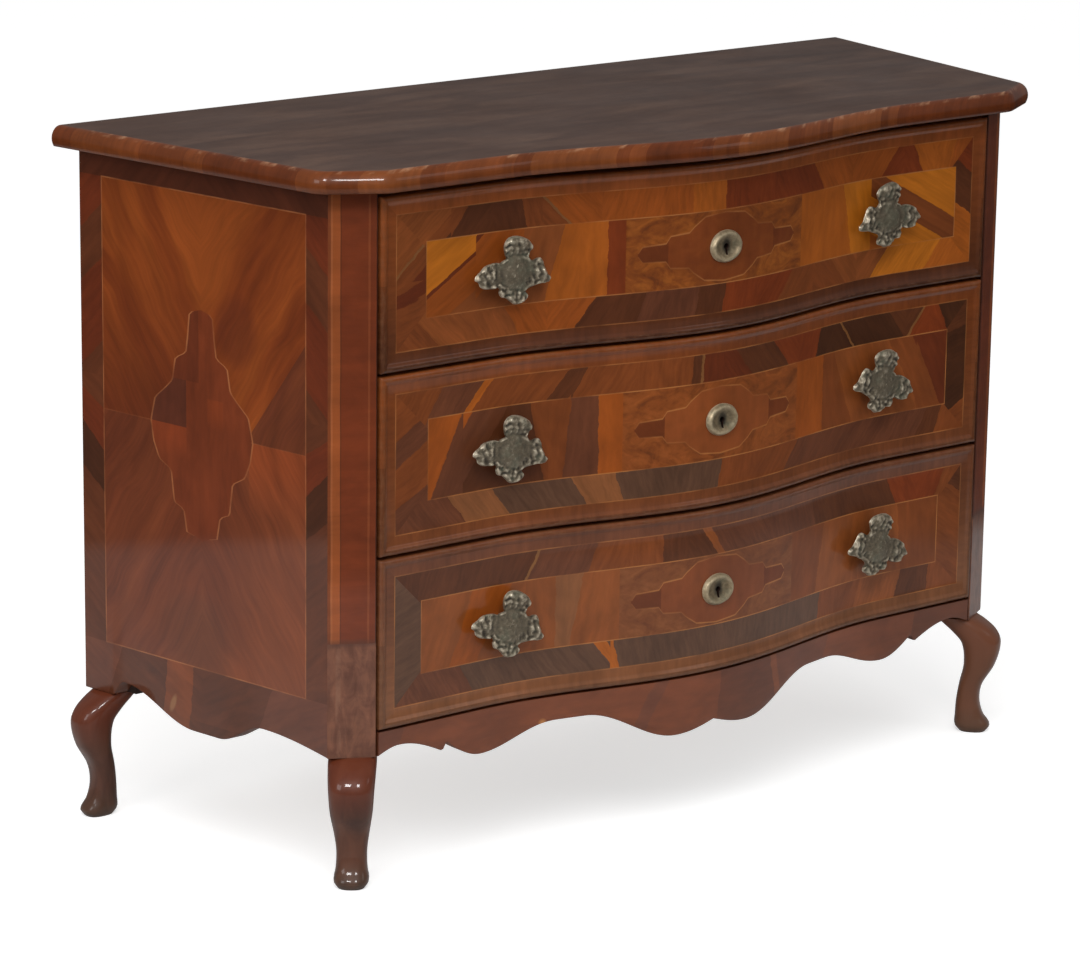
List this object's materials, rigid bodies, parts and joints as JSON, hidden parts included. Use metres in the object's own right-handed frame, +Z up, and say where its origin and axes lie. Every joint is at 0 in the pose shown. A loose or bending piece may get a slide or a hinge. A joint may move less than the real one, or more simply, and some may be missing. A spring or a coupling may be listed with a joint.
{
  "type": "serpentine commode",
  "caption": "Veneered serpentine-front chest of drawers on cabriole legs, with canted corners, a shaped apron, a moulded serpentine top and cast pulls.",
  "frame": {"origin": "on the floor, under the middle of the commode's bounding box", "axes": "+X to the right as seen from the front, -Y to the front where the drawers open, +Z up"},
  "size_m": [1.2202, 0.501, 0.82],
  "materials": {
    "top_veneer": "worn wax polish",
    "side_veneer": "wax polish",
    "post_veneer": "wax polish",
    "front_veneer": "wax polish",
    "leg_wood": "satin polish",
    "carcass_pine": "bare, planed",
    "drawer_wood": "bare, planed",
    "cast_brass": "dull, tarnished",
    "lock_iron": "dull"
  },
  "bodies": {
    "case": {"top_board": "top_veneer", "side_panel_left": "side_veneer", "side_panel_right": "side_veneer", "back_boards": "carcass_pine", "bottom_board": "carcass_pine", "corner_post_left": "post_veneer", "corner_post_right": "post_veneer", "rear_post_left": "carcass_pine", "rear_post_right": "carcass_pine", "top_rail": "carcass_pine", "upper_rail": "carcass_pine", "lower_rail": "carcass_pine", "bottom_rail": "carcass_pine", "front_apron": "front_veneer", "back_rails": "carcass_pine", "leg_front_left": "leg_wood", "leg_front_right": "leg_wood", "leg_rear_left": "leg_wood", "leg_rear_right": "leg_wood", "upper_runners": "carcass_pine", "lower_runners": "carcass_pine", "floor_guides": "carcass_pine", "kickers": "carcass_pine", "glue_blocks": "carcass_pine"},
    "top_drawer": {"top_drawer_front": "front_veneer", "top_drawer_side_left": "drawer_wood", "top_drawer_side_right": "drawer_wood", "top_drawer_back": "drawer_wood", "top_drawer_bottom": "drawer_wood", "top_lock_case": "lock_iron", "top_escutcheon": "cast_brass", "top_pull_posts": "cast_brass"},
    "top_bolt": {"top_lock_bolt": "lock_iron"},
    "top_left_pull": {"top_pull_left": "cast_brass"},
    "top_right_pull": {"top_pull_right": "cast_brass"},
    "middle_drawer": {"middle_drawer_front": "front_veneer", "middle_drawer_side_left": "drawer_wood", "middle_drawer_side_right": "drawer_wood", "middle_drawer_back": "drawer_wood", "middle_drawer_bottom": "drawer_wood", "middle_lock_case": "lock_iron", "middle_escutcheon": "cast_brass", "middle_pull_posts": "cast_brass"},
    "middle_bolt": {"middle_lock_bolt": "lock_iron"},
    "middle_left_pull": {"middle_pull_left": "cast_brass"},
    "middle_right_pull": {"middle_pull_right": "cast_brass"},
    "bottom_drawer": {"bottom_drawer_front": "front_veneer", "bottom_drawer_side_left": "drawer_wood", "bottom_drawer_side_right": "drawer_wood", "bottom_drawer_back": "drawer_wood", "bottom_drawer_bottom": "drawer_wood", "bottom_lock_case": "lock_iron", "bottom_escutcheon": "cast_brass", "bottom_pull_posts": "cast_brass"},
    "bottom_bolt": {"bottom_lock_bolt": "lock_iron"},
    "bottom_left_pull": {"bottom_pull_left": "cast_brass"},
    "bottom_right_pull": {"bottom_pull_right": "cast_brass"}
  },
  "joints": [
    {"name": "top_drawer_slide", "type": "slide", "parent": "case", "child": "top_drawer", "axis": [0, -1, 0], "range_m": [0, 0.3]},
    {"name": "top_bolt_slide", "type": "slide", "parent": "top_drawer", "child": "top_bolt", "axis": [0, 0, 1], "range_m": [0, 0.01]},
    {"name": "top_left_pull_turn", "type": "hinge", "parent": "top_drawer", "child": "top_left_pull", "pos_m": [-0.28862, -0.18405, 0.6875], "axis": [-0.0515, -0.9987, 0], "range_deg": [-15, 15]},
    {"name": "top_right_pull_turn", "type": "hinge", "parent": "top_drawer", "child": "top_right_pull", "pos_m": [0.28862, -0.18405, 0.6875], "axis": [0.0515, -0.9987, 0], "range_deg": [-15, 15]},
    {"name": "middle_drawer_slide", "type": "slide", "parent": "case", "child": "middle_drawer", "axis": [0, -1, 0], "range_m": [0, 0.3]},
    {"name": "middle_bolt_slide", "type": "slide", "parent": "middle_drawer", "child": "middle_bolt", "axis": [0, 0, 1], "range_m": [0, 0.01]},
    {"name": "middle_left_pull_turn", "type": "hinge", "parent": "middle_drawer", "child": "middle_left_pull", "pos_m": [-0.28862, -0.18405, 0.483], "axis": [-0.0515, -0.9987, 0], "range_deg": [-15, 15]},
    {"name": "middle_right_pull_turn", "type": "hinge", "parent": "middle_drawer", "child": "middle_right_pull", "pos_m": [0.28862, -0.18405, 0.483], "axis": [0.0515, -0.9987, 0], "range_deg": [-15, 15]},
    {"name": "bottom_drawer_slide", "type": "slide", "parent": "case", "child": "bottom_drawer", "axis": [0, -1, 0], "range_m": [0, 0.3]},
    {"name": "bottom_bolt_slide", "type": "slide", "parent": "bottom_drawer", "child": "bottom_bolt", "axis": [0, 0, 1], "range_m": [0, 0.01]},
    {"name": "bottom_left_pull_turn", "type": "hinge", "parent": "bottom_drawer", "child": "bottom_left_pull", "pos_m": [-0.28862, -0.18405, 0.279], "axis": [-0.0515, -0.9987, 0], "range_deg": [-15, 15]},
    {"name": "bottom_right_pull_turn", "type": "hinge", "parent": "bottom_drawer", "child": "bottom_right_pull", "pos_m": [0.28862, -0.18405, 0.279], "axis": [0.0515, -0.9987, 0], "range_deg": [-15, 15]}
  ]
}
